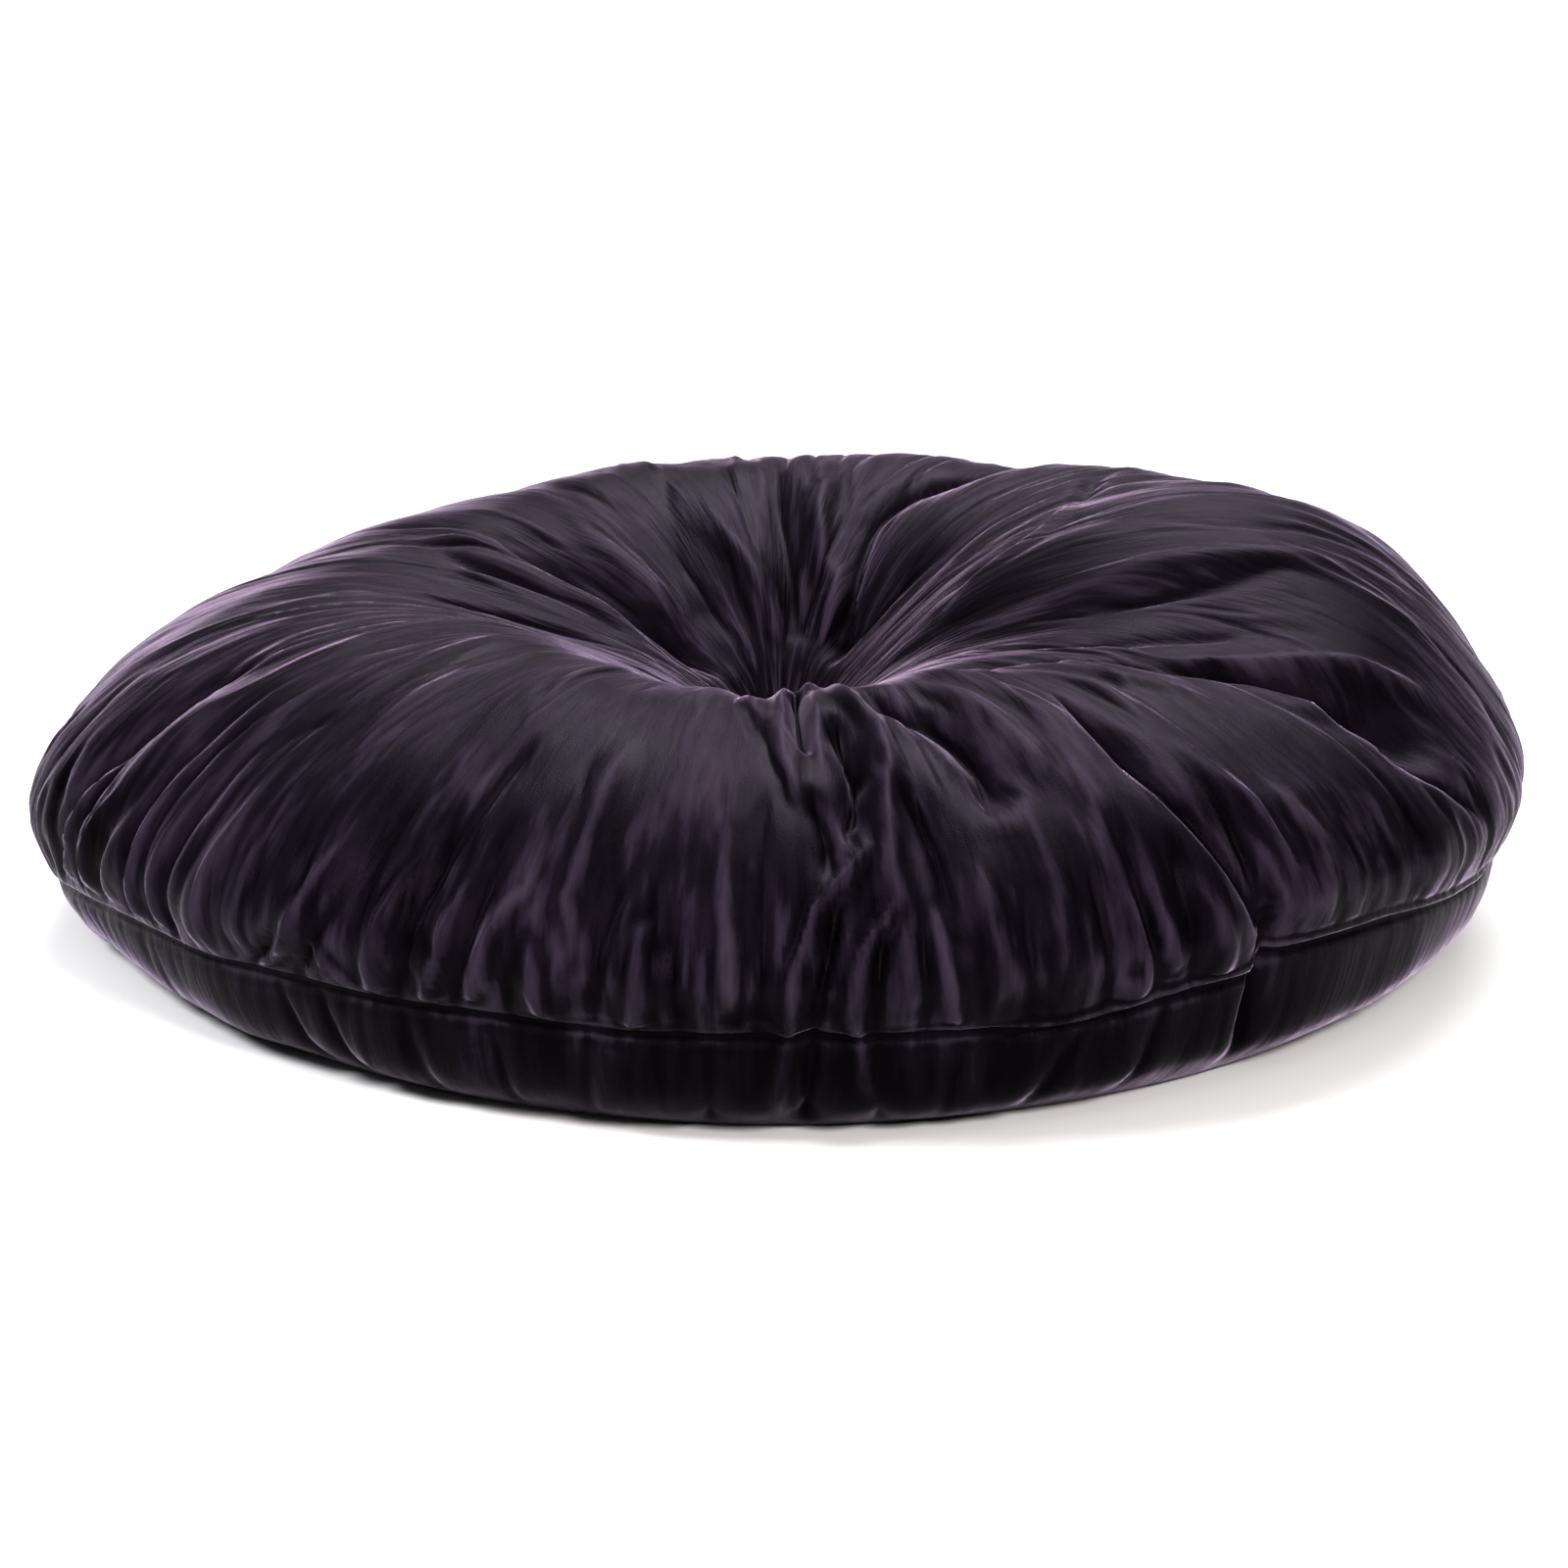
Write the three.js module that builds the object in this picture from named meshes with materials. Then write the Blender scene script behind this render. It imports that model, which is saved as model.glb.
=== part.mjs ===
// Round velvet floor cushion, 80 cm across: two round panels sewn together at a seam low on the side,
// filled, and drawn down in the middle by one stitched tuft. It is one filled solid, lying on the floor.
// Millimetres, +Z up. The origin is on the floor under the tuft. Headings are in degrees, anticlockwise
// seen from above: 0 is the right-hand side (+X), 90 the back (+Y), 270 the front.
import * as THREE from "three";

// Driving dimensions
const REACH = 400; // half of the diameter, from the tuft to the widest point of the side
const CROWN = 185; // height of the ring-shaped crown, on average
const SEAM = 48; // height of the seam above the floor, on average
const TUFT = 86; // height of the stitched point in the middle of the upper face
const FLAT_REACH = 348; // half of the width that lies flat on the floor

// The average section, from the tuft over the crown and round the side to the edge of the flat underside
const SECTION = [
  { at: "tuft", radius: 0, height: TUFT },
  { at: "tuft wall", radius: 9, height: TUFT + 10 },
  { at: "inner slope", radius: 45, height: 128 },
  { at: "inner shoulder", radius: 110, height: 161 },
  { at: "crown", radius: 225, height: CROWN },
  { at: "outer shoulder", radius: 322, height: 163 },
  { at: "upper side", radius: 381, height: 118 },
  { at: "widest point", radius: REACH, height: 82 },
  { at: "above the seam", radius: REACH - 5, height: SEAM + 12 },
  { at: "seam", radius: REACH - 11, height: SEAM },
  { at: "below the seam", radius: REACH - 13, height: SEAM - 11 },
  { at: "lower side", radius: REACH - 25, height: 14 },
  { at: "edge of the flat", radius: FLAT_REACH, height: 0 },
];

// The underside is flat, and the tuft's stitches draw its middle up a little
const UNDERSIDE = [
  { at: "flat", radius: 215, height: 0 },
  { at: "edge of the dimple", radius: 80, height: 0 },
  { at: "dimple wall", radius: 30, height: 11 },
  { at: "tuft stitches", radius: 0, height: 20 },
];

// How far the cushion reaches, and how high its crown and seam are, towards each heading
const SIDES = [
  { heading: 0, reach: 400, crown: 218, seam: 44 },
  { heading: 30, reach: 404, crown: 212, seam: 50 },
  { heading: 60, reach: 404, crown: 204, seam: 48 },
  { heading: 90, reach: 404, crown: 198, seam: 48 },
  { heading: 120, reach: 404, crown: 194, seam: 48 },
  { heading: 150, reach: 394, crown: 180, seam: 41 },
  { heading: 180, reach: 406, crown: 176, seam: 29 },
  { heading: 210, reach: 390, crown: 180, seam: 45 },
  { heading: 240, reach: 400, crown: 180, seam: 54 },
  { heading: 270, reach: 410, crown: 175, seam: 56 },
  { heading: 300, reach: 404, crown: 178, seam: 61 },
  { heading: 330, reach: 397, crown: 180, seam: 59 },
];

// Main folds: troughs with a positive depth and ridges with a negative one. A fold's line starts, bends
// and ends at a heading and a run, the distance from the tuft measured along the section.
const FOLDS = [
  { start: [130, 298], bend: [300, 323], end: [410, 332], depth: 13, width: 20 }, // long trough, right
  { start: [365, 333], bend: [405, 335], end: [450, 333], depth: 15, width: 26 }, // hollow that it ends in
  { start: [330, 205], bend: [420, 201], end: [510, 197], depth: 11, width: 14 }, // trough on the left rim
  { start: [60, 144], bend: [180, 152], end: [330, 156], depth: 9, width: 17 }, // back left
  { start: [80, 136], bend: [150, 137], end: [260, 133], depth: -5, width: 16 },
  { start: [70, 116], bend: [180, 117], end: [330, 119], depth: 6, width: 26 },
  { start: [80, 99], bend: [160, 99], end: [300, 100], depth: -4, width: 15 },
  { start: [70, 88], bend: [180, 90], end: [330, 91], depth: 6, width: 17 },
  { start: [70, 72], bend: [150, 77], end: [280, 80], depth: -5, width: 13 },
  { start: [50, 50], bend: [170, 68], end: [350, 58], depth: 10, width: 12 }, // notch at the back
  { start: [90, 8], bend: [200, 27], end: [330, 42], depth: 7, width: 14 }, // back right
  { start: [120, 327], bend: [200, 331], end: [300, 342], depth: -6, width: 20 },
  { start: [50, 260], bend: [150, 266], end: [270, 268], depth: 13, width: 12 }, // cleft in the front lip
  { start: [280, 275], bend: [400, 275], end: [570, 272], depth: 10, width: 13 }, // front middle
  { start: [230, 279], bend: [350, 280], end: [500, 281], depth: -5, width: 14 },
  { start: [235, 281], bend: [313, 287], end: [410, 288], depth: 11, width: 14 },
  { start: [240, 289], bend: [313, 292], end: [420, 293], depth: -5, width: 13 },
  { start: [280, 300], bend: [368, 300], end: [500, 305], depth: 10, width: 12 },
  { start: [430, 306], bend: [500, 306], end: [590, 306], depth: 10, width: 11 }, // tuck across the seam
  { start: [320, 255], bend: [390, 255], end: [480, 253], depth: -5, width: 13 },
  { start: [330, 240], bend: [420, 238], end: [560, 236], depth: 6, width: 15 },
  { start: [340, 222], bend: [430, 219], end: [560, 217], depth: 5, width: 16 },
];

// Fineness of the faceted surface
const HEADINGS = 144; // faces round the cushion
const STEPS_PER_STATION = 2.5; // rings for each station of the section

const turn = (degrees) => ((degrees % 360) + 360) % 360;

// A smooth closed curve through one column of SIDES, read at any heading.
function toward(heading, column) {
  const place = (turn(heading) / 360) * SIDES.length;
  const row = Math.floor(place);
  const share = place - row;
  const [before, from, to, after] = [-1, 0, 1, 2].map(
    (step) => SIDES[(row + step + SIDES.length) % SIDES.length][column],
  );
  return (
    from +
    0.5 * share * (to - before) +
    0.5 * share ** 2 * (2 * before - 5 * from + 4 * to - after) +
    0.5 * share ** 3 * (3 * from - before - 3 * to + after)
  );
}

// The rings of the upper face and the side: where each lies on the average section, how far that is from
// the tuft along the section, and which way faces out there.
function sectionRings() {
  const curve = new THREE.CatmullRomCurve3(
    SECTION.map(({ radius, height }) => new THREE.Vector3(radius, 0, height)),
    false,
    "centripetal",
  );
  const count = Math.round((SECTION.length - 1) * STEPS_PER_STATION);
  const rings = [];
  let run = 0;
  for (let i = 0; i <= count; i++) {
    const point = curve.getPoint(i / count);
    const along = curve.getTangent(i / count);
    if (i > 0) run += Math.hypot(point.x - rings[i - 1].radius, point.z - rings[i - 1].height);
    rings.push({ radius: point.x, height: point.z, run, out: [-along.z, along.x] });
  }
  return rings;
}

// How far the surface sinks, along its own normal, into the folds that pass near a point.
function foldDepth(heading, run, radius) {
  let sunk = 0;
  for (const { start, bend, end, depth, width } of FOLDS) {
    const share = (run - start[0]) / (end[0] - start[0]);
    if (share <= 0 || share >= 1) continue;
    const bendShare = (bend[0] - start[0]) / (end[0] - start[0]);
    // The quadratic through the three headings
    const lineHeading =
      start[1] +
      (end[1] - start[1]) * share +
      ((bend[1] - start[1] - (end[1] - start[1]) * bendShare) * share * (1 - share)) /
        (bendShare * (1 - bendShare));
    const aside = turn(heading - lineHeading + 180) - 180;
    const across = (THREE.MathUtils.degToRad(aside) * radius) / width;
    sunk += depth * Math.sin(Math.PI * share) ** 0.7 * Math.exp(-(Math.abs(across) ** 1.5));
  }
  return sunk;
}

// Where a ring of the section lies towards one heading.
function surfacePoint(ring, heading) {
  const reach = toward(heading, "reach") / REACH;
  const seam = toward(heading, "seam");
  const crown = toward(heading, "crown");
  const lifted =
    ring.height >= SEAM
      ? seam + ((ring.height - SEAM) * (crown - seam)) / (CROWN - SEAM)
      : (ring.height * seam) / SEAM;
  // The tuft holds one height whatever the heading
  const hold = THREE.MathUtils.smoothstep(1 - ring.radius / 150, 0, 1);
  const height = THREE.MathUtils.lerp(lifted, ring.height, hold);
  const sunk = foldDepth(heading, ring.run, ring.radius);
  return {
    radius: (ring.radius - ring.out[0] * sunk) * reach,
    height: Math.max(0, height - ring.out[1] * sunk),
  };
}

function cushion() {
  const rings = sectionRings();
  const profile = [...rings, ...UNDERSIDE];
  const geometry = new THREE.LatheGeometry(
    profile.map(({ radius, height }) => new THREE.Vector2(radius, height)).reverse(),
    HEADINGS,
  );
  geometry.rotateX(Math.PI / 2);
  const position = geometry.getAttribute("position");
  for (let i = 0; i < position.count; i++) {
    const ring = profile[profile.length - 1 - (i % profile.length)];
    const side = Math.floor(i / profile.length) % HEADINGS;
    const heading = turn((side * 360) / HEADINGS - 90);
    const onSection = ring.run !== undefined && ring.radius > 0;
    const { radius, height } = onSection ? surfacePoint(ring, heading) : ring;
    const angle = THREE.MathUtils.degToRad(heading);
    position.setXYZ(i, radius * Math.cos(angle), radius * Math.sin(angle), height);
  }
  return geometry;
}

const velvet = new THREE.MeshStandardMaterial({ color: 0x332d38, roughness: 0.85, metalness: 0 });

const floorCushion = new THREE.Group();
const body = new THREE.Mesh(cushion(), velvet);
body.name = "cushion";
floorCushion.add(body);

export default floorCushion;
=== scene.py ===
"""Round velvet floor cushion on a pale floor.

The cushion is one closed mesh. Its surface is laid out by heading, in degrees anticlockwise from +X seen
from above, and by run, the distance in millimetres from the tuft measured along the section. Folds and
gathers sink into that surface, or stand up from it, along its normal.
"""

import math

import bpy
import numpy as np
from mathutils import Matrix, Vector


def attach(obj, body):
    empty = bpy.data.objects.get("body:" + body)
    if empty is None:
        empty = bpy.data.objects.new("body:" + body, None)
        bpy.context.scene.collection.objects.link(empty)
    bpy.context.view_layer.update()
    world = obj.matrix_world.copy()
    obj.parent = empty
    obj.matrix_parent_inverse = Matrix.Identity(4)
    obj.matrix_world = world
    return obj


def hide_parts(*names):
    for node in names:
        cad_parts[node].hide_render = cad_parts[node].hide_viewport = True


MM = 0.001

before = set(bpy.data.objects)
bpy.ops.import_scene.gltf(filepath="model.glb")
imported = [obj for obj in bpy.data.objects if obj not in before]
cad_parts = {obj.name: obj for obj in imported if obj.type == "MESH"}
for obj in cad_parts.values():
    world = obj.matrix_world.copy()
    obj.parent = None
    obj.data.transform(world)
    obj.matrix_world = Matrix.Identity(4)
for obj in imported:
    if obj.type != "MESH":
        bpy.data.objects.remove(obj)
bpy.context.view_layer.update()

# Shape: sizes in millimetres, headings in degrees

REACH = 400.0  # half of the diameter
CROWN = 185.0  # average height of the ring-shaped crown
SEAM = 48.0  # average height of the seam
FULL_RUN = 590.0  # run at the edge of the flat underside
SEAM_RUN = 519.0  # run at the seam
TUFT_HOLD = 150.0  # radius within which the tuft holds the height back to the average section's
SECTION_SAMPLES = 80  # points worked out between two rows of SECTION
HALF_STEP = 0.5  # run to each side over which the slope of the surface is measured
TINY = 1e-9  # what a length is at least when something is divided by it

# The average section: where, radius, height
SECTION = (
    ("tuft", 0, 86),
    ("tuft wall", 9, 96),
    ("inner slope", 45, 128),
    ("inner shoulder", 110, 161),
    ("crown", 225, CROWN),
    ("outer shoulder", 322, 163),
    ("upper side", 381, 118),
    ("widest point", REACH, 82),
    ("above the seam", REACH - 5, SEAM + 12),
    ("seam", REACH - 11, SEAM),
    ("below the seam", REACH - 13, SEAM - 11),
    ("lower side", REACH - 25, 14),
    ("edge of the flat", 348, 0),
)

# How far the cushion reaches and how high its crown is: heading, reach, crown
SIDES = (
    (0, 400, 218),
    (30, 404, 212),
    (60, 404, 204),
    (90, 404, 198),
    (120, 404, 194),
    (150, 394, 180),
    (180, 406, 176),
    (210, 390, 180),
    (240, 400, 180),
    (270, 410, 175),
    (300, 404, 178),
    (330, 397, 180),
)

# The seam's height above the floor, without the step in it: heading, height
SEAM_LINE = (
    (0, 44),
    (30, 50),
    (120, 48),
    (150, 41),
    (180, 27),
    (190, 30),
    (201, 41),
    (212, 48),
    (225, 53),
    (250, 57),
    (275, 55),
    (285, 54),
    (299, 60),
    (313, 63),
    (325, 60),
    (339, 53),
    (360, 44),
)
SEAM_STEP = (305.6, 10)  # heading of the tuck that the seam steps up at, and how far it steps
SEAM_STEP_WIDTH = 1.2  # degrees that the step up takes
SEAM_STEP_END = 345  # heading at which the seam is back at its line
SEAM_ROUNDING = (-6, -3, 0, 3, 6)  # degrees to the sides over which the line's corners are averaged

# The seam's cross-section: the stitches' groove, a wider dip beside it, and the edge that stands up above
# a narrow crease where the seam is pinched
GROOVE_DEPTH = 2.2
GROOVE_WIDTH = 1.9
DIP_DEPTH = 1.4
DIP_WIDTH = 7
EDGE_HEIGHT = 3.4
EDGE_ABOVE = 1.4
EDGE_CREASE_DEPTH = 2.6
EDGE_CREASE_BELOW = 2.8
EDGE_WIDTH = 1.8
EDGE_FILLS = 0.35  # share of the groove that the pinched edge fills
PINCHED = (284, 347)  # headings between which the seam is pinched
PINCHED_FADE = (4, 10)  # degrees over which that starts and ends

NARROWING = 45.0  # radius within which the folds narrow towards the tuft
SMALLEST_RADIUS = 2.0  # the widths of folds are measured as if at this radius at least
FOLD_ROUNDED = 0.6  # how rounded the bottom of a fold is
FLAT_AT_SEAM = 0.4  # share of a fold's depth that the stitches leave at the seam
FLAT_BESIDE_SEAM = 20.0  # run over which the fold gets its depth back
FLOOR_FADE = 25.0  # run over which the folds die away towards the floor
# How the folds stray from their lines: seed, waves round the cushion, run over which a wave leans by a
# radian at most, degrees
STRAY = (5, (9, 13, 17, 23, 31), 60, 0.35)

# Folds, troughs with a positive depth and ridges with a negative one.
# line: (run, heading) from the tuft outwards; depth; width; fade: run over which each end dies away;
# sharp: 1 for a crease with a keen bottom, 2 for a soft one
FOLDS = (
    # right: long trough, the hollow that it ends in, and the ridges beside them
    (
        ((120, 297), (212, 309), (263, 320), (300, 323.6), (331, 327.7), (362, 330.2), (410, 332)),
        15, 11, (90, 30), 1.3,
    ),
    (((360, 330), (405, 332), (450, 333)), 16, 24, (30, 40), 1.6),
    (((240, 317), (300, 325), (364, 335), (420, 342)), -7, 11, (60, 50), 2),
    (((150, 320), (206, 323), (273, 330), (330, 337)), 7, 9, (60, 50), 1.3),
    (((180, 338), (224, 343), (297, 348), (360, 356)), -6, 13, (50, 60), 2),
    (((200, 334), (267, 342), (340, 352)), 5, 9, (50, 60), 1.3),
    (((400, 328), (439, 331), (480, 336)), 8, 9, (25, 25), 1.2),
    # left rim
    (((320, 205), (403, 202), (473, 198), (515, 196)), 13, 12, (70, 30), 1.3),
    (((340, 210), (410, 208), (480, 206)), -5, 13, (60, 50), 2),
    # back left
    (((50, 140), (121, 146), (167, 147), (212, 146), (262, 144)), 13, 15, (40, 90), 1.4),
    (((100, 154), (182, 155), (227, 153), (285, 147)), -5, 10, (50, 60), 2),
    (((90, 136), (151, 134), (227, 126)), -5, 12, (40, 70), 2),
    (((70, 120), (110, 120), (170, 116), (230, 114)), 9, 18, (40, 90), 1.5),
    (((130, 158), (212, 159), (285, 152)), 5, 6, (50, 60), 1.2),
    (((90, 172), (180, 177), (270, 181)), 6, 17, (60, 80), 1.5),
    (((120, 163), (200, 163), (260, 168)), -4, 9, (50, 60), 2),
    # back
    (((60, 76), (79, 90), (100, 96), (130, 101), (161, 104), (230, 106)), -7, 9, (25, 80), 2),
    (((60, 82), (91, 84), (136, 87), (182, 90), (250, 91)), 9, 11, (25, 90), 1.4),
    (((70, 64), (112, 70), (133, 77), (170, 81), (206, 82), (270, 83)), -7, 9, (30, 90), 2),
    (
        (
            (50, 50), (83, 57), (109, 62), (133, 66), (170, 68.5),
            (210, 66), (250, 60), (290, 57), (350, 56),
        ),
        12, 8, (30, 90), 1.2,
    ),
    # back right
    (((60, 50), (100, 44), (180, 38)), 8, 11, (30, 70), 1.4),
    (((110, 2), (151, 11), (206, 24), (251, 36), (310, 44)), 8, 10, (50, 80), 1.3),
    (((110, -6), (173, 8), (218, 27), (251, 33)), -5, 9, (40, 60), 2),
    # front lip: the cleft, the lips beside it and the pleat that loops below it
    (((4, 255), (50, 260), (100, 264.5), (150, 266.3), (200, 267), (250, 267.6)), 18, 5.5, (8, 50), 1.2),
    (
        ((130, 270.2), (215, 270.4), (250, 269.8), (285, 269.4), (315, 270.4), (345, 271.8)),
        -5, 4.2, (50, 30), 1.6,
    ),
    (
        ((225, 264.6), (262, 266.4), (285, 268), (310, 269.4), (356, 270.6), (385, 271.8)),
        -4.5, 4.5, (30, 40), 1.6,
    ),
    (((222, 272.2), (260, 272), (300, 271.8), (335, 272.6)), 14, 4.6, (15, 35), 1.2),
    (((355, 271.6), (380, 272.6), (400, 273.2), (425, 272.8)), 9, 6, (20, 25), 1.2),
    (((170, 274.4), (240, 273.6), (300, 273.4), (350, 273.4)), -5, 4, (30, 50), 1.6),
    (((90, 250), (150, 256), (200, 260), (270, 262)), -3, 10, (50, 90), 2),
    (((120, 286), (160, 283), (200, 280), (250, 277.5)), -2.5, 7, (40, 70), 2),
    (((280, 274.8), (313, 275.2), (349, 276.2), (374, 275.6), (405, 274.4)), 14, 6, (28, 30), 1.2),
    # front, right of the middle
    (
        (
            (215, 276.4), (276, 278.2), (306, 279.6), (337, 279.5),
            (368, 278.5), (411, 277.6), (460, 277.6),
        ),
        -7, 6, (50, 60), 2,
    ),
    (
        ((235, 281), (270, 283.3), (288, 285.6), (313, 287.2), (343, 287.9), (368, 287.6), (400, 287)),
        14, 11, (35, 40), 1.5,
    ),
    (((350, 280.4), (380, 281.1), (411, 281.7), (434, 281.7), (475, 281.6)), 9, 7, (30, 40), 1.3),
    (((240, 289), (282, 291.2), (313, 292.2), (349, 292.6), (395, 292.6)), -6, 8, (50, 50), 2),
    (((200, 292), (267, 295), (318, 297.4), (380, 297.6)), -4, 7, (50, 60), 2),
    (((390, 295.8), (443, 295.6), (471, 296.2), (505, 297)), 8, 6, (35, 30), 1.2),
    (
        ((280, 300.6), (325, 300.2), (368, 300), (405, 301.1), (439, 302.8), (466, 304.2), (505, 305.2)),
        11, 6.5, (50, 40), 1.2,
    ),
    (((250, 306), (300, 307), (350, 307)), -5, 6, (50, 50), 2),
    (((250, 309), (297, 311.5), (342, 319)), -5, 8, (50, 50), 2),
    (((400, 304), (460, 305.2), (520, 305.6), (575, 306.4)), 12, 4.5, (80, 30), 1.0),
    # front, left of the middle
    (((310, 255), (370, 255), (440, 254)), -5, 9, (60, 60), 2),
    (((300, 248), (380, 246), (470, 244)), 5, 10, (70, 60), 1.4),
    # gathers that stand up above the seam, from the left round the front to the right
    (((420, 202), (470, 200.5), (512, 198.5)), -4, 5, (40, 12), 2),
    (((430, 207.5), (470, 206), (512, 204.5)), -4, 5, (40, 12), 2),
    (((440, 210.5), (475, 209.5), (512, 208)), -3, 5, (40, 12), 2),
    (((400, 214), (480, 214), (514, 213)), -4, 5, (60, 12), 2),
    (((410, 218), (480, 217.5), (514, 217)), -3, 5, (60, 12), 2),
    (((400, 226), (460, 224.5), (514, 222.5)), -4, 10, (60, 14), 2),
    (((425, 236.5), (487, 234), (505, 231.5), (517, 229)), -6, 5, (50, 8), 2),
    (((478, 234.5), (500, 237.5), (516, 239.5)), -5, 4.5, (20, 8), 2),
    (((400, 243.5), (470, 242), (517, 241)), -6, 4.5, (70, 8), 2),
    (((425, 247.5), (480, 246.4), (517, 244.5)), -6, 4.5, (50, 8), 2),
    (((430, 252.5), (475, 250), (514, 248)), -5, 5, (40, 10), 2),
    (((465, 253.5), (500, 254), (517, 254.6)), -5, 4.5, (30, 8), 2),
    (((360, 256), (440, 255.2), (480, 257)), -4, 5, (60, 40), 2),
    (((440, 260.5), (490, 260.6), (516, 260)), -6, 5, (40, 8), 2),
    (((380, 265.5), (425, 266), (475, 266.6), (512, 267)), -4, 4.5, (60, 30), 2),
    (
        (
            (390, 276.6), (405, 276), (423, 273.8), (439, 272.2),
            (457, 271.3), (475, 270.6), (519, 270.2), (562, 269.4),
        ),
        -7, 3.6, (25, 20), 2,
    ),
    (
        ((430, 278), (448, 276.6), (462, 275.2), (478, 274.7), (498, 274.4), (528, 275.4), (552, 276)),
        -7, 4, (20, 20), 2,
    ),
    (((430, 281), (470, 280.6), (514, 281.6)), -5, 5, (30, 10), 2),
    (((400, 285), (450, 284.5), (500, 285.5)), -5, 8, (50, 30), 2),
    (((400, 290), (450, 289), (496, 289.5)), -4, 7, (50, 30), 2),
    (((492, 294), (508, 294.4), (519, 294.6)), -5, 8, (10, 6), 2),
    (((450, 296.5), (485, 297.2), (508, 297.8)), -5, 5, (30, 20), 2),
    (((430, 299), (480, 301), (518, 302.2)), -6, 6, (40, 8), 2),
    (((380, 307.5), (440, 308.2), (475, 309)), -3, 6, (50, 40), 2),
    (((380, 311), (425, 311.6), (465, 314)), -3, 6, (50, 40), 2),
    # gathers that sink in between them
    (((380, 204), (450, 203.5), (514, 201)), 5, 5, (60, 8), 1.1),
    (((440, 209), (480, 207.6), (516, 206)), 4, 4, (40, 6), 1.1),
    (((410, 212), (480, 211.6), (516, 210.4)), 5, 4, (50, 6), 1.1),
    (((380, 220), (460, 219.4), (517, 218.6)), 5, 5, (60, 6), 1.1),
    (((470, 233), (500, 231), (519, 228)), 6, 5, (30, 4), 1.1),
    (((440, 239.6), (490, 236), (508, 234), (519, 233)), 7, 6, (50, 4), 1.1),
    (((390, 245.5), (470, 244), (519, 242.6)), 7, 5, (70, 4), 1.1),
    (((400, 250.4), (480, 248.4), (519, 246.6)), 6, 5, (60, 4), 1.1),
    (((450, 253.6), (490, 251.8), (519, 251.4)), 6, 5, (40, 4), 1.1),
    (((410, 259), (480, 257.6), (519, 257.2)), 7, 8, (60, 4), 1.2),
    (((430, 263.5), (480, 263.4), (519, 263.4)), 6, 8, (50, 4), 1.2),
    (((400, 268.6), (470, 268.6), (519, 268.4)), 6, 5, (50, 4), 1.1),
    (((425, 273.6), (445, 273.4), (485, 272.4), (540, 271.8), (580, 271.6)), 10, 4.5, (25, 14), 1.1),
    (((430, 276.6), (480, 276.2), (519, 276)), 6, 4.5, (40, 4), 1.1),
    (((430, 279.6), (490, 279.4), (519, 279.6)), 6, 4.5, (40, 4), 1.1),
    (((420, 287.4), (480, 287.2), (519, 287.6)), 5, 5, (50, 4), 1.1),
    (((420, 291.6), (480, 292), (519, 292.2)), 7, 5.5, (60, 4), 1.1),
    (((430, 295.2), (490, 296), (519, 296.6)), 6, 5, (50, 4), 1.1),
    (((430, 298.6), (490, 299.2), (519, 299.8)), 6, 4.5, (50, 4), 1.1),
    (((420, 316), (470, 316), (500, 315)), 2, 8, (50, 20), 1.2),
    # gathers below the seam
    (((519, 230.6), (545, 231.6), (580, 233)), 3.6, 3.6, (6, 20), 1.1),
    (((519, 235), (550, 236), (584, 237)), 3.6, 3.6, (6, 20), 1.1),
    (((519, 243), (550, 243.6), (580, 244)), 3, 3.6, (6, 20), 1.1),
    (((519, 249.4), (545, 249.8), (580, 250)), 3, 3.6, (6, 20), 1.1),
    (((519, 257), (545, 256.6), (575, 256)), 2.4, 3.6, (6, 20), 1.1),
    (((519, 265.4), (545, 265.4), (585, 265)), 4.2, 3.6, (6, 20), 1.1),
    (((519, 276.6), (550, 276.8), (585, 277.4)), 4.2, 3.6, (6, 20), 1.1),
    (((519, 283), (545, 282), (575, 281)), 2.4, 3.6, (6, 20), 1.1),
    (((519, 291.4), (545, 289.8), (580, 287.8)), 3.6, 3.6, (6, 20), 1.1),
    (((519, 298), (545, 296.6), (580, 295)), 3, 3.6, (6, 20), 1.1),
)

# Uneven dents and swellings: heading, run, depth, radius round the cushion, radius along the run
DENTS = (
    (250, 240, 4, 30, 40),
    (232, 210, -4, 70, 60),
    (300, 420, -6, 60, 50),
    (262, 430, 4, 60, 60),
    (240, 140, 13, 70, 75),
    (266, 130, 9, 50, 75),
    (290, 130, 9, 70, 70),
    (15, 330, -4, 90, 70),
    (130, 330, 3, 70, 60),
    (352, 420, 4, 40, 40),
    (320, 470, 5, 40, 30),
    (57.5, 300, 6, 26, 80),
)

# How strongly the random gathers and creases show towards each heading: least at the front right, where
# FOLDS already has the folds that show in the photograph
RANDOM_HEADINGS = (0, 30, 60, 90, 150, 190, 205, 225, 262, 300, 312, 335, 350, 360)
RANDOM_STRENGTH = (0.5, 0.5, 0.65, 0.75, 0.75, 0.75, 0.6, 0.45, 0.45, 0.45, 0.3, 0.3, 0.45, 0.5)

# Gathers that the stitching makes, drawn at random from fixed seeds: seed, run of the stitches,
# direction, mean spacing in degrees, depth, width, shortest and longest length
GATHERS = (
    (11, SEAM_RUN - 1, -1, 1.9, 3.6, 3.4, 30, 190),
    (23, SEAM_RUN + 1, 1, 2.4, 3.4, 3.6, 25, 66),
    (37, 4, 1, 18.0, 5.0, 6.0, 60, 200),
    (41, 30, 1, 8.0, 1.8, 4.2, 60, 190),
)
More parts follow.
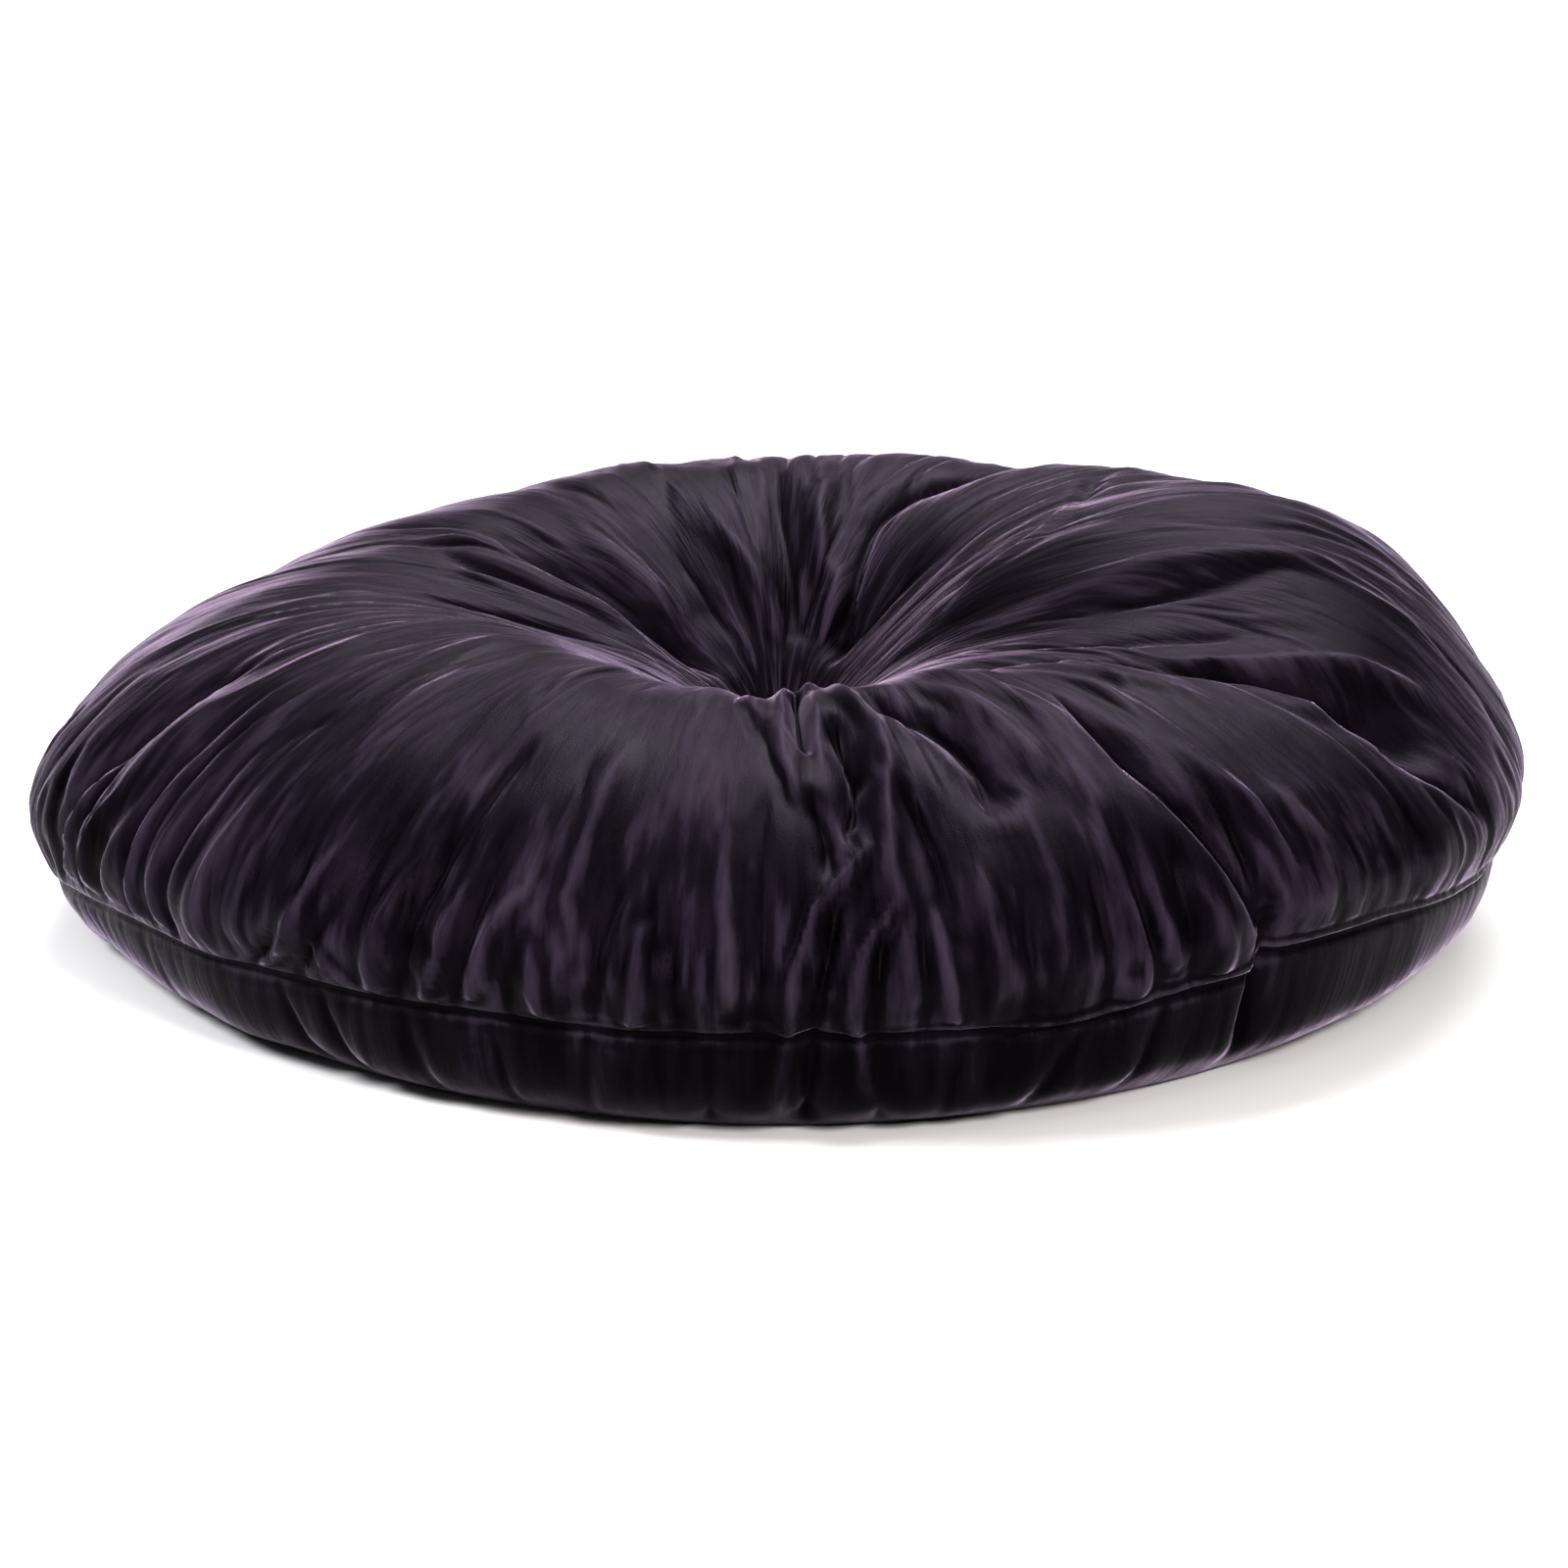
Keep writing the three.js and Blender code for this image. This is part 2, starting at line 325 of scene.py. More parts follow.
# How the gathers of a line of stitches differ from each other
MOSTLY_SHORT = 2.2  # the higher, the more of them are near the shortest length
LEAN = 1.2  # standard deviation, in degrees for each 100 mm of length
BEND = 0.8  # the same, for how far the far end turns away
DEPTH_RANGE = (0.55, 1.25)  # against the depth, width and spacing in GATHERS
WIDTH_RANGE = (0.75, 1.35)
SPACING_RANGE = (0.55, 1.5)
GATHER_POINTS = (0, 0.35, 0.7, 1)  # shares of the length at which the line of a gather has its points
DEPTH_OF_ANY = 0.7  # share of the depth that a gather of any length has
DEPTH_BY_LENGTH = 0.3  # share of the depth that the longest has besides, and shorter ones in proportion
STITCHED_FADE = 5  # run over which a gather starts at the stitches
FREE_FADE = 0.85  # share of its length over which it dies away
GATHER_SHARP = 1.0  # a keen bottom, as in FOLDS

# Creases that run and branch along the cloth, where seeded noise crosses zero: seed, cells round the
# cushion, their length along the run, depth (a ridge if negative), width in the noise's own units, the runs
# between which they show, and the run over which they fade in and out
CREASES = (
    (51, 52, 150, 3.0, 0.22, 120, 500, 90),
    (53, 64, 120, -2.6, 0.20, 150, 505, 80),
    (55, 120, 80, 1.7, 0.24, 200, 517, 60),
    (57, 130, 70, -1.7, 0.24, 220, 517, 70),
    (59, 190, 36, 1.8, 0.30, 430, 518, 40),
    (61, 200, 34, -1.6, 0.30, 440, 518, 40),
    (63, 26, 80, 1.3, 0.24, 30, 240, 60),
    (65, 34, 80, -1.0, 0.24, 40, 250, 60),
    (67, 110, 50, 1.6, 0.30, 521, 585, 12),
    (69, 160, 30, -1.2, 0.30, 522, 580, 12),
)
CREASE_STRAY = 0.6  # share of a cell by which the creases stray
CREASE_WAVES = (7, 12, 19, 27)  # waves round the cushion that they stray in
CREASE_WAVE_LEAN = 50  # run over which one of them leans by a radian at most
CREASE_ROUNDED = 0.03  # how rounded the bottom of a crease is, in the noise's own units
CREASE_SHARP = 1.3  # between keen and soft, as in FOLDS
CREASE_LEAST = 0.4  # share of the depth that is left where RANDOM_STRENGTH is 0
STRAY_SEED = 100  # added to a seed of CREASES, for the waves
PATCH_SEED = 200  # added to a seed of CREASES, for the patches that a crease comes and goes in
FEWEST_PATCHES = 9  # round the cushion
CELLS_IN_PATCH = 8  # cells round the cushion to one patch
PATCH_LENGTH = 1.5  # length of a patch along the run, against a cell's
PATCH_CONTRAST = 0.9  # how sharply the patches differ
NEAR_SEAM = 500  # creases that reach past this run fade out over SHORT_FADE at most
SHORT_FADE = 12

# Soft unevenness of the whole cloth.
# Waves: seed, waves round the cushion, run over which one leans by a radian at most, depth, run over which
# they start. Swellings: seed, cells round the cushion, their length along the run, depth, run at which they
# start, run over which they do.
WAVES = (3, (7, 11, 16, 21), 45, 1.1, 120)
SWELLINGS = (
    (71, 26, 90, 1.5, 60, 100),
    (73, 70, 40, 0.7, 100, 100),
)

# Zones of the mesh: columns round the cushion, first run, last run, spacing of the rings
ZONES = (
    (200, 2, 30, 2.8),
    (400, 30, 110, 3.4),
    (800, 110, 430, 6.2),
    (800, 430, 508, 4.6),
    (800, 508, 529, 1.4),
    (800, 529, FULL_RUN, 4.6),
)
# Rings of the underside: columns, radius, height
UNDERSIDE = (
    (400, 338, 0.0),
    (400, 320, 0.0),
    (200, 280, 0.0),
    (200, 200, 0.0),
    (200, 120, 0.0),
    (200, 80, 0.3),
    (200, 52, 4.0),
    (200, 30, 11.0),
    (200, 12, 17.0),
)
TUFT_HEIGHT = SECTION[0][2]
FLAT_RADIUS = SECTION[-1][1]
STITCHES_BELOW = 19.0  # height of the tuft's stitches in the underside
CROWDING = 0.3  # how much closer the columns are at the front than on average
FRONT = 270  # heading of the front

# The crest attribute, from which the velvet paints highlight on ridges and shade in creases
CREST_AT_REST = 6.0  # curvature of the unfolded cushion, per metre
CREST_SCALE = 60.0  # curvature of a clear ridge, per metre
CREST_OWN = 0.4  # share of its own curvature that a vertex keeps each time it is evened out
CREST_PASSES = 2

# Cloth simulation of a coarser grid of the same surface: columns round the cushion, first run, last run,
# spacing of the rings
CLOTH_ZONES = (
    (150, 12, 60, 5.0),
    (300, 60, 190, 6.5),
    (600, 190, 470, 7.0),
    (600, 470, SEAM_RUN, 4.5),
    (600, SEAM_RUN, 584, 5.5),
)
CLOTH_FRAMES = 16
HELD_AT_TUFT = 15  # run up to which the tuft holds the cloth
HELD_AT_FLOOR = 580  # run from which the floor holds it
HELD_AT_SEAM = 1.5  # run to each side of the seam within which the stitches hold it
# Spare cloth round the cushion, as a share of its length: everywhere, and more at the stitches of the
# tuft and of the seam, dying away over so many millimetres of run
SPARE = 0.03
SPARE_AT_TUFT = (0.08, 60)
SPARE_AT_SEAM = (0.16, 45)
SETTLED_AT_MOST = 16.0  # how far the simulation may move a point
SWOLLEN_AT_MOST = 2.5  # how far it may push a fold back out
WRINKLE_ARC = 24  # degrees over which the simulation's own puffing up is averaged, and left out

# Looks: tones are rows of a place on a colour ramp and a colour

# Tones towards the dark end are reached mostly in creases and below the seam, where they are painted shade,
# and towards the light end on keen ridges, where they are painted highlight; the nap and streaks move the
# colour between them at random
VELVET_TONES = (
    (0.34, (0.0006, 0.0004, 0.0008)),
    (0.52, (0.0042, 0.0032, 0.0050)),
    (0.77, (0.032, 0.0262, 0.0362)),
)
SPECULAR_TINT = (0.94, 0.72, 1.0)
SHEEN_TINT = (0.56, 0.475, 0.61)
ROUGHNESS = (0.35, 0.65, 0.32, 0.55)  # two tones, and the roughness at each
STREAK_SHARE = 0.38  # how much of the tone comes from the streaks, the rest from the nap
CREST_PAINTED_LIGHT = 0.15  # painted highlight on keen ridges and painted shade in keen creases: how much lighter the one and darker the other is
LOWER_PAINTED_SHADE = 0.11  # painted shade on the lower panel: how much darker it is made
LOWER_FROM = (1, 8)  # run past the seam at which that painted shade starts, and at which it is full
FLOOR_TONES = ((0, (0.78, 0.85, 0.76)), (1, (0.80, 0.87, 0.78)))
SKY_TONES = ((0.3, (0.03, 0.03, 0.03)), (0.8, (0.98, 0.92, 1.0)))

# Stage, in metres
FLOOR_HALF = 150.0
FLOOR_DROP = 0.0005  # how far the floor lies below the cushion
LENS = 102.2  # in millimetres, on a sensor 36 mm wide
SENSOR = 36
FARTHEST = 100  # that the camera sees
ELEVATION = 15.25  # of the camera, in degrees
DISTANCE = 2.424  # of the camera from PIVOT
PIVOT = (0, 0, 0.09)
AIM = (0.002, 0, 0.0665)
LIT_POINT = (0, 0, 0.1)
VIOLET = (0.95, 0.86, 1.0)
ROSE = (1.0, 0.87, 0.96)
# Lights: name, kind, location, strength, size (an angle for the sun, a width for the others), colour
LIGHTS = (
    ("softbox behind", "SUN", (0.4, 2.6, 3.3), 3.15, math.radians(40), VIOLET),
    ("softbox left", "AREA", (-2.0, -1.0, 2.0), 78, 1.0, VIOLET),
    ("softbox right", "AREA", (1.0, -2.2, 1.4), 66, 0.7, ROSE),
)


def smooth(x):
    """0 below 0, 1 above 1, and a smooth rise between."""
    x = np.clip(x, 0.0, 1.0)
    return x * x * (3 - 2 * x)


def bell(x):
    """1 at 0, dying away to both sides."""
    return np.exp(-(x**2))


def cubic(before, start, end, after, share):
    """The smooth curve through four values, between the middle two."""
    return (
        start
        + 0.5 * share * (end - before)
        + 0.5 * share**2 * (2 * before - 5 * start + 4 * end - after)
        + 0.5 * share**3 * (3 * start - before - 3 * end + after)
    )


def section_curve():
    """Run, radius and height along a smooth curve through SECTION, a centripetal Catmull-Rom spline."""
    points = np.array([row[1:] for row in SECTION], float)
    longer = np.vstack([2 * points[0] - points[1], points, 2 * points[-1] - points[-2]])
    pieces = []
    for p0, p1, p2, p3 in zip(longer, longer[1:], longer[2:], longer[3:]):
        t1 = np.linalg.norm(p1 - p0) ** 0.5
        t2 = t1 + np.linalg.norm(p2 - p1) ** 0.5
        t3 = t2 + np.linalg.norm(p3 - p2) ** 0.5
        t = np.linspace(t1, t2, SECTION_SAMPLES, endpoint=False)[:, None]
        a1 = (t1 - t) / t1 * p0 + t / t1 * p1
        a2 = (t2 - t) / (t2 - t1) * p1 + (t - t1) / (t2 - t1) * p2
        a3 = (t3 - t) / (t3 - t2) * p2 + (t - t2) / (t3 - t2) * p3
        b1 = (t2 - t) / t2 * a1 + t / t2 * a2
        b2 = (t3 - t) / (t3 - t1) * a2 + (t - t1) / (t3 - t1) * a3
        pieces.append((t2 - t) / (t2 - t1) * b1 + (t - t1) / (t2 - t1) * b2)
    curve = np.vstack([*pieces, points[-1:]])
    run = np.concatenate([[0], np.cumsum(np.linalg.norm(np.diff(curve, axis=0), axis=1))])
    return run * FULL_RUN / run[-1], curve[:, 0], curve[:, 1]


RUN, RADIUS, HEIGHT = section_curve()


def toward(heading, column):
    """A smooth closed curve through one column of SIDES, at each heading."""
    values = np.array([row[column] for row in SIDES], float)
    place = (heading % 360) / 360 * len(values)
    row = np.floor(place).astype(int) % len(values)
    share = place - np.floor(place)
    return cubic(*(values[(row + k) % len(values)] for k in (-1, 0, 1, 2)), share)


def seam_height(heading):
    """Height of the seam, with the step at the tuck, at each heading."""
    headings, heights = zip(*SEAM_LINE)
    lines = [np.interp((heading + k) % 360, headings, heights) for k in SEAM_ROUNDING]
    rise = sum(lines) / len(lines)
    tuck, step = SEAM_STEP
    past = (heading - tuck) % 360
    back = 1 - smooth(past / (SEAM_STEP_END - tuck))
    after = smooth(past / SEAM_STEP_WIDTH + 0.5) * back
    before = smooth((past - 360) / SEAM_STEP_WIDTH + 0.5)
    return rise + step * np.where(past < 180, after, before)


def base(heading, run):
    """Radius and height of the unfolded surface."""
    radius = np.interp(run, RUN, RADIUS)
    height = np.interp(run, RUN, HEIGHT)
    seam = seam_height(heading)
    crown = toward(heading, 2)
    lifted = np.where(
        height >= SEAM,
        seam + (height - SEAM) * (crown - seam) / (CROWN - SEAM),
        height * seam / SEAM,
    )
    hold = smooth(1 - radius / TUFT_HOLD)
    return radius * toward(heading, 1) / REACH, lifted + (height - lifted) * hold


def slope(heading, run):
    """Direction of the unfolded surface along the run, as radius and height."""
    radius, height = base(heading, np.minimum(run + HALF_STEP, FULL_RUN))
    radius_before, height_before = base(heading, np.maximum(run - HALF_STEP, 0))
    along = np.stack([radius - radius_before, height - height_before], -1)
    along /= np.linalg.norm(along, axis=-1, keepdims=True)
    return along


def wobble(seed, heading, run, waves, lean_run):
    """Smooth uneven waves of about unit size, closed round the cushion, each leaning by chance."""
    rng = np.random.RandomState(seed)
    total = 0.0
    for k in waves:
        phase = rng.uniform(0, 2 * math.pi)
        lean = rng.uniform(-1, 1)
        size = rng.uniform(0.6, 1.4)
        total = total + size * np.sin(np.radians(heading) * k + lean * run / lean_run + phase)
    return total / math.sqrt(len(waves))


def patches(seed, heading, run, cells, length):
    """Smooth random noise from -1 to 1: so many cells round the cushion, each so long along the run."""
    rng = np.random.RandomState(seed)
    rows = int(FULL_RUN / length) + 3
    values = rng.uniform(-1, 1, (rows, cells))
    shift = rng.uniform(0, 1, rows)
    along = run / length
    row = np.floor(along).astype(int)
    sides = []
    for k in (0, 1):
        across = (heading % 360) / 360 * cells + shift[row + k]
        column = np.floor(across).astype(int)
        part = smooth(across - column)
        left, right = values[row + k, column % cells], values[row + k, (column + 1) % cells]
        sides.append(left + (right - left) * part)
    return sides[0] + (sides[1] - sides[0]) * smooth(along - row)


def gathers(seed, start, direction, spacing, depth, width, shortest, longest):
    """The gathers of one line of stitches, as FOLDS rows."""
    rng = np.random.RandomState(seed)
    heading, rows = 0.0, []
    while heading < 360 - spacing / 2:
        length = shortest + (longest - shortest) * rng.uniform(0, 1) ** MOSTLY_SHORT
        lean = rng.normal(0, LEAN) * length / 100
        bend = rng.normal(0, BEND) * length / 100
        size = rng.uniform(*DEPTH_RANGE) * np.interp(heading, RANDOM_HEADINGS, RANDOM_STRENGTH)
        line = [
            (start + direction * length * t, heading + lean * t + bend * t * t)
            for t in GATHER_POINTS
        ]
        fades = (length * FREE_FADE, STITCHED_FADE)
        deep = depth * size * (DEPTH_OF_ANY + DEPTH_BY_LENGTH * length / longest)
        wide = width * rng.uniform(*WIDTH_RANGE)
        fade = fades if direction < 0 else fades[::-1]
        rows.append((tuple(sorted(line)), deep, wide, fade, GATHER_SHARP))
        heading += spacing * rng.uniform(*SPACING_RANGE)
    return rows


def folds_sink(heading, run, radius):
    """How far FOLDS, GATHERS and DENTS sink each point."""
    total = np.zeros_like(run)
    seed, waves, lean_run, degrees = STRAY
    warped = heading + wobble(seed, heading, run, waves, lean_run) * degrees
    rows = list(FOLDS)
    for row in GATHERS:
        rows += gathers(*row)
    narrowed = np.minimum(1, radius / NARROWING)
    for line, depth, width, (fade_in, fade_out), sharp in rows:
        runs = np.array([p[0] for p in line], float)
        headings = np.array([p[1] for p in line], float)
        near = (run > runs[0]) & (run < runs[-1])
        if not near.any():
            continue
        centre = np.interp(run[near], runs, headings)
        aside = np.radians((warped[near] - centre + 180) % 360 - 180) * radius[near]
        across = np.sqrt(aside**2 + FOLD_ROUNDED**2) / (width * narrowed[near])
        inside = smooth((run[near] - runs[0]) / fade_in) * smooth((runs[-1] - run[near]) / fade_out)
        total[near] += depth * narrowed[near] * inside * np.exp(-(across**sharp))
    total *= FLAT_AT_SEAM + (1 - FLAT_AT_SEAM) * smooth(np.abs(run - SEAM_RUN) / FLAT_BESIDE_SEAM)
    for at, where, depth, round_size, along_size in DENTS:
        aside = np.radians((heading - at + 180) % 360 - 180) * radius
        total += depth * np.exp(-((aside / round_size) ** 2) - ((run - where) / along_size) ** 2)
    return total


def creases_sink(heading, run):
    """How far the branching creases of CREASES sink each point."""
    total = np.zeros_like(run)
    strength = np.interp(heading % 360, RANDOM_HEADINGS, RANDOM_STRENGTH)
    for seed, cells, length, depth, width, first, last, fade in CREASES:
        waves = wobble(seed + STRAY_SEED, heading, run, CREASE_WAVES, CREASE_WAVE_LEAN)
        warped = heading + CREASE_STRAY * 360 / cells * waves
        field = patches(seed, warped, run, cells, length)
        across = np.sqrt(field**2 + CREASE_ROUNDED**2) / width
        fade_out = min(fade, SHORT_FADE) if last > NEAR_SEAM else fade
        shown = smooth((run - first) / fade) * smooth((last - run) / fade_out)
        patch_cells = max(FEWEST_PATCHES, cells // CELLS_IN_PATCH)
        come_and_go = patches(seed + PATCH_SEED, heading, run, patch_cells, length * PATCH_LENGTH)
        uneven = smooth(0.5 + PATCH_CONTRAST * come_and_go)
        part = CREASE_LEAST + (1 - CREASE_LEAST) * strength
        total += depth * shown * uneven * np.exp(-(across**CREASE_SHARP)) * part
    return total


def seam_sink(heading, run):
    """The groove that the stitches pull in, and the edge that stands up where the seam is pinched."""
    start, end = PINCHED
    start_fade, end_fade = PINCHED_FADE
    pinched = smooth((heading - start) / start_fade) * smooth((end - heading) / end_fade)
    from_seam = run - SEAM_RUN
    dip = DIP_DEPTH * np.exp(-np.abs(from_seam) / DIP_WIDTH)
    groove = GROOVE_DEPTH * bell(from_seam / GROOVE_WIDTH) + dip
    crease = EDGE_CREASE_DEPTH * bell((from_seam - EDGE_CREASE_BELOW) / EDGE_WIDTH)
    edge = -EDGE_HEIGHT * bell((from_seam + EDGE_ABOVE) / EDGE_WIDTH) + crease
    return groove + (edge - EDGE_FILLS * groove) * pinched


def sink(heading, run):
    """How far each point of the surface sinks along its normal."""
    radius = np.maximum(np.interp(run, RUN, RADIUS), SMALLEST_RADIUS)
    total = folds_sink(heading, run, radius) + creases_sink(heading, run) + seam_sink(heading, run)
    seed, waves, lean_run, depth, fade = WAVES
    total += depth * wobble(seed, heading, run, waves, lean_run) * smooth(run / fade)
    for seed, cells, length, depth, first, fade in SWELLINGS:
        total += depth * patches(seed, heading, run, cells, length) * smooth((run - first) / fade)
    return total


def surface(heading, run):
    """Points in millimetres, folds included."""
    radius, height = base(heading, run)
    along = slope(heading, run)
    sunk = sink(heading, run) * smooth((FULL_RUN - run) / FLOOR_FADE)
    r = radius + along[..., 1] * sunk
    z = height - along[..., 0] * sunk
    angle = np.radians(heading)
    return np.stack([r * np.cos(angle), r * np.sin(angle), np.maximum(z, 0)], -1)


def headings_of(columns):
    """Headings of the columns of one ring, closest together at the front."""
    even = np.arange(columns) * 360.0 / columns
    return even - np.degrees(CROWDING) * np.sin(np.radians(even - FRONT))


def ring_runs(zones):
    """Columns and run of each ring of some zones."""
    rings = []
    for zone in zones:
        columns, first, last, spacing = zone
        count = max(1, round((last - first) / spacing))
        runs = np.linspace(first, last, count, endpoint=zone == zones[-1])
        rings += [(columns, float(run)) for run in runs]
    return rings


def outward(heading, run):
    """The outward normal of the unfolded surface."""
    along = slope(heading, run)
    turned = np.radians(heading)
    return np.stack([-along[:, 1] * np.cos(turned), -along[:, 1] * np.sin(turned), along[:, 0]], -1)


def cut_cloth(points, heading, run):
    """A ring of the cloth as it was cut: longer than the room it has, so every other column stands out."""
    spare = SPARE
    spare += SPARE_AT_TUFT[0] * math.exp(-(run - CLOTH_ZONES[0][1]) / SPARE_AT_TUFT[1])
    spare += SPARE_AT_SEAM[0] * math.exp(-abs(run - SEAM_RUN) / SPARE_AT_SEAM[1])
    width = np.linalg.norm(np.roll(points, -1, 0) - points, axis=1).mean()
    side = np.where(np.arange(len(points)) % 2 == 0, 1.0, -1.0)[:, None]
    stands_out = side * 0.5 * width * math.sqrt((1 + spare) ** 2 - 1)
    return points + stands_out * outward(heading, np.full(len(points), run))


def finer(ring, columns):
    """A closed ring of values read at more columns, along a smooth curve."""
    place = np.arange(columns) * len(ring) / columns
    row = np.floor(place).astype(int)
    share = (place - row)[:, None]
    before, start, end, after = (ring[(row + k) % len(ring)] for k in (-1, 0, 1, 2))
    return cubic(before, start, end, after, share)


def simulate(points, cut_points, faces, held):
    """Where the cloth's points, in millimetres, go when it takes on the lengths that it was cut to."""
    mesh = bpy.data.meshes.new("cloth")
    mesh.from_pydata([tuple(p) for p in points * MM], [], faces)
    cloth = bpy.data.objects.new("cloth", mesh)
    bpy.context.scene.collection.objects.link(cloth)
    cloth.shape_key_add(name="Basis")
    cut = cloth.shape_key_add(name="cut")
    cut.data.foreach_set("co", (cut_points * MM).ravel())
    cut.value = 0
    stitched = cloth.vertex_groups.new(name="stitched")
    stitched.add([int(i) for i in np.nonzero(held)[0]], 1.0, "REPLACE")

    modifier = cloth.modifiers.new("cloth", "CLOTH")
    settings = modifier.settings
    settings.vertex_group_mass = "stitched"
    settings.rest_shape_key = cut
    settings.quality = 5
    settings.mass = 0.15
    settings.time_scale = 0.6
    settings.air_damping = 2
    settings.tension_stiffness = settings.compression_stiffness = 20
    settings.shear_stiffness = 4
    settings.bending_stiffness = 0.05
    settings.tension_damping = settings.compression_damping = settings.shear_damping = 6
    settings.bending_damping = 0.5
    settings.use_pressure = True
    settings.uniform_pressure_force = 3
    settings.effector_weights.gravity = 0
    modifier.collision_settings.use_collision = False
    modifier.collision_settings.use_self_collision = False
    scene = bpy.context.scene
    scene.frame_start, scene.frame_end = 1, CLOTH_FRAMES
    modifier.point_cache.frame_start, modifier.point_cache.frame_end = 1, CLOTH_FRAMES
    for frame_number in range(1, CLOTH_FRAMES + 1):
        scene.frame_set(frame_number)
    settled = np.empty(len(points) * 3)
    shape = cloth.evaluated_get(bpy.context.evaluated_depsgraph_get())
    shape.data.vertices.foreach_get("co", settled)
    bpy.data.objects.remove(cloth)
    bpy.data.meshes.remove(mesh)
    scene.frame_set(1)
    return settled.reshape(-1, 3) / MM


def settle_cloth():
    """Runs of the simulated rings, and how far each of their points has moved, in millimetres."""
    rings = ring_runs(CLOTH_ZONES)
    points = [surface(headings_of(n), np.full(n, run)) for n, run in rings]
    cut_points = [cut_cloth(ring, headings_of(n), run) for ring, (n, run) in zip(points, rings)]
    starts = np.concatenate([[0], np.cumsum([n for n, _ in rings])])
    faces = []
    for i in range(len(rings) - 1):
        faces += bridge(int(starts[i]), rings[i][0], int(starts[i + 1]), rings[i + 1][0])
    flat = np.vstack(points)
    run_of = np.repeat([run for _, run in rings], [n for n, _ in rings])
    at_ends = (run_of < HELD_AT_TUFT) | (run_of > HELD_AT_FLOOR)
    held = at_ends | (np.abs(run_of - SEAM_RUN) < HELD_AT_SEAM)
    moved = simulate(flat, np.vstack(cut_points), faces, held) - flat
    wrinkles = [
        only_wrinkles(moved[a:b], headings_of(b - a), run)
        for a, b, (_, run) in zip(starts, starts[1:], rings)
    ]
    widest = ZONES[-1][0]
    return [run for _, run in rings], [finer(ring, widest) for ring in wrinkles]


def only_wrinkles(moved, heading, run):
    """What is left of one ring's movement without its even part, which would change the fitted shape."""
    turned = np.radians(heading)
    normal = outward(heading, np.full(len(heading), run))
    round_it = np.stack([-np.sin(turned), np.cos(turned), np.zeros(len(turned))], -1)
    along = np.cross(normal, round_it)
    parts = np.stack([(moved * axis).sum(1) for axis in (normal, round_it, along)], -1)
    half = round(len(heading) * WRINKLE_ARC / 360 / 2)
    wrapped = np.vstack([parts[-half:], parts, parts[:half]])
    summed = np.vstack([np.zeros(3), np.cumsum(wrapped, axis=0)])
    parts -= (summed[2 * half + 1 :] - summed[: -2 * half - 1]) / (2 * half + 1)
    far = np.linalg.norm(parts, axis=1, keepdims=True)
    parts *= SETTLED_AT_MOST * np.tanh(far / SETTLED_AT_MOST) / np.maximum(far, TINY)
    swollen = parts[:, 0] > 0
    parts[swollen, 0] = SWOLLEN_AT_MOST * np.tanh(parts[swollen, 0] / SWOLLEN_AT_MOST)
    return normal * parts[:, :1] + round_it * parts[:, 1:2] + along * parts[:, 2:]


def settling(settled, columns, run):
    """How far the simulation moves the points of one ring of the cushion."""
    runs, moved = settled
    if not runs[0] < run < runs[-1]:
        return 0.0
    row = int(np.searchsorted(runs, run)) - 1
    share = (run - runs[row]) / (runs[row + 1] - runs[row])
    before, start, end, after = (moved[min(max(row + k, 0), len(runs) - 1)] for k in (-1, 0, 1, 2))
    return cubic(before, start, end, after, share)[:: len(start) // columns]


def bridge(inner, n, outer, m):
    """Faces between a ring of n vertices and the next one, of as many, twice as many or half as many."""
    if n == m:
        return [(inner + j, outer + j, outer + (j + 1) % n, inner + (j + 1) % n) for j in range(n)]
    faces = []
    for j in range(min(n, m)):
        if m > n:
            c0, c1 = inner + j, inner + (j + 1) % n
            f0, f1, f2 = (outer + (2 * j + k) % m for k in range(3))
            faces += [(c0, f0, f1), (c0, f1, c1), (c1, f1, f2)]
        else:
            c0, c1 = outer + j, outer + (j + 1) % m
            f0, f1, f2 = (inner + (2 * j + k) % n for k in range(3))
            faces += [(f0, c0, f1), (f1, c0, c1), (f1, c1, f2)]
    return faces


def cushion_mesh():
    """Vertices in metres, faces, and each vertex's place in the cloth: cosine and sine of heading, run."""
    points, grain, starts, sizes = [], [], [], []
    settled = settle_cloth()

    def add_ring(heading, run, ring):
        """Add the points of one ring, and their place in the cloth."""
        starts.append(sum(sizes))
        sizes.append(len(heading))
        points.append(ring)
        turned = np.radians(heading)
        grain.append(np.stack([np.cos(turned), np.sin(turned), np.full(len(heading), run)], -1))

    for columns, run in ring_runs(ZONES):
        heading = headings_of(columns)
        ring = surface(heading, np.full(columns, run))
        if settled:
            ring += settling(settled, columns, run)
            ring[:, 2] = np.maximum(ring[:, 2], 0)
        add_ring(heading, run, ring)
    edge = points[-1]
    for columns, radius, height in UNDERSIDE:
        ring = edge[:: len(edge) // columns] * (radius / FLAT_RADIUS)
        ring[:, 2] = height
        add_ring(headings_of(columns), FULL_RUN + FLAT_RADIUS - radius, ring)
    faces = []
    for (a, n), (b, m) in zip(zip(starts, sizes), zip(starts[1:], sizes[1:])):
        faces += bridge(a, n, b, m)
    tuft = sum(sizes)
    add_ring(np.zeros(1), 0, np.array([[0, 0, TUFT_HEIGHT]]))
    add_ring(np.zeros(1), FULL_RUN + FLAT_RADIUS, np.array([[0, 0, STITCHES_BELOW]]))
    faces += [(tuft, j, (j + 1) % sizes[0]) for j in range(sizes[0])]
    last, columns = starts[-3], sizes[-3]
    faces += [(last + j, tuft + 1, last + (j + 1) % columns) for j in range(columns)]
    return np.vstack(points) * MM, faces, np.vstack(grain)


